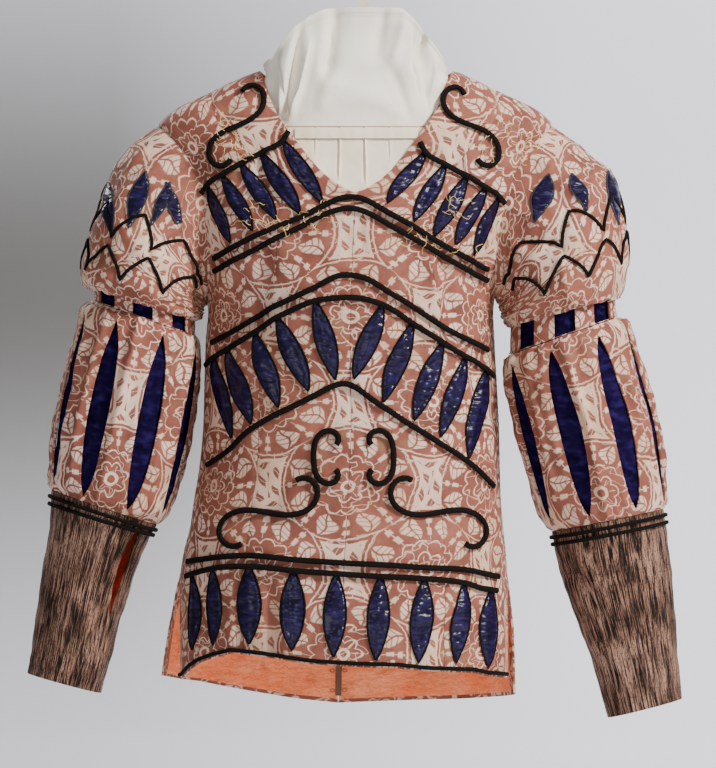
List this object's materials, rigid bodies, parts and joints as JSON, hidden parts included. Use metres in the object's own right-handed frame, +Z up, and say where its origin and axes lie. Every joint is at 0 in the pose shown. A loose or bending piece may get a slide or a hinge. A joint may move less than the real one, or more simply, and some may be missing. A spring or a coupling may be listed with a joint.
{
  "type": "doublet",
  "caption": "Hollow theatre doublet in rose brocade with navy satin slashes, black cord bands, puffed sleeves, lame cuffs and a tall white collar.",
  "frame": {"origin": "inside of the fold of the hanging tape at the top of the collar, where a hook holds it", "axes": "+Z up, the front faces -Y, +X to the right seen from the front"},
  "size_m": [0.7196, 0.25, 0.8089],
  "materials": {
    "brocade": "matt damask",
    "satin": "satin",
    "braid": "matt",
    "lame": "metallic thread",
    "white_cloth": "matt"
  },
  "bodies": {
    "root": {"back_left": "brocade", "back_right": "brocade", "collar": "white_cloth", "collar_band": "white_cloth", "cord_back_lower_left": "braid", "cord_back_lower_right": "braid", "cord_back_upper_left": "braid", "cord_back_upper_right": "braid", "cord_belly_chevron": "braid", "cord_belly_curl_left": "braid", "cord_belly_curl_right": "braid", "cord_belly_scroll_left": "braid", "cord_belly_scroll_right": "braid", "cord_chest_chevron_lower": "braid", "cord_chest_chevron_upper": "braid", "cord_chest_left": "braid", "cord_chest_right": "braid", "cord_cuff_left_lower": "braid", "cord_cuff_left_upper": "braid", "cord_cuff_right_lower": "braid", "cord_cuff_right_upper": "braid", "cord_hem_edge": "braid", "cord_hem_lower": "braid", "cord_hem_upper": "braid", "cord_petals_high_left": "braid", "cord_petals_high_right": "braid", "cord_petals_low_left": "braid", "cord_petals_low_right": "braid", "cord_shoulder_scroll_left": "braid", "cord_shoulder_scroll_right": "braid", "cord_waist_chevron_lower": "braid", "cord_waist_chevron_upper": "braid", "cuff_left": "lame", "cuff_right": "lame", "dickey": "white_cloth", "front_centre_left": "brocade", "front_centre_right": "brocade", "front_side_left": "brocade", "front_side_right": "brocade", "hanging_tape": "white_cloth", "leaves_back_left": "satin", "leaves_back_right": "satin", "leaves_chest_left": "satin", "leaves_chest_right": "satin", "leaves_hem": "satin", "leaves_waist": "satin", "lower_puff_back_left": "brocade", "lower_puff_back_right": "brocade", "lower_puff_front_left": "brocade", "lower_puff_front_right": "brocade", "sleeve_band_left": "brocade", "sleeve_band_right": "brocade", "under_sleeve_lower_left": "satin", "under_sleeve_lower_right": "satin", "under_sleeve_upper_left": "satin", "under_sleeve_upper_right": "satin", "upper_puff_left": "brocade", "upper_puff_right": "brocade"}
  },
  "joints": []
}
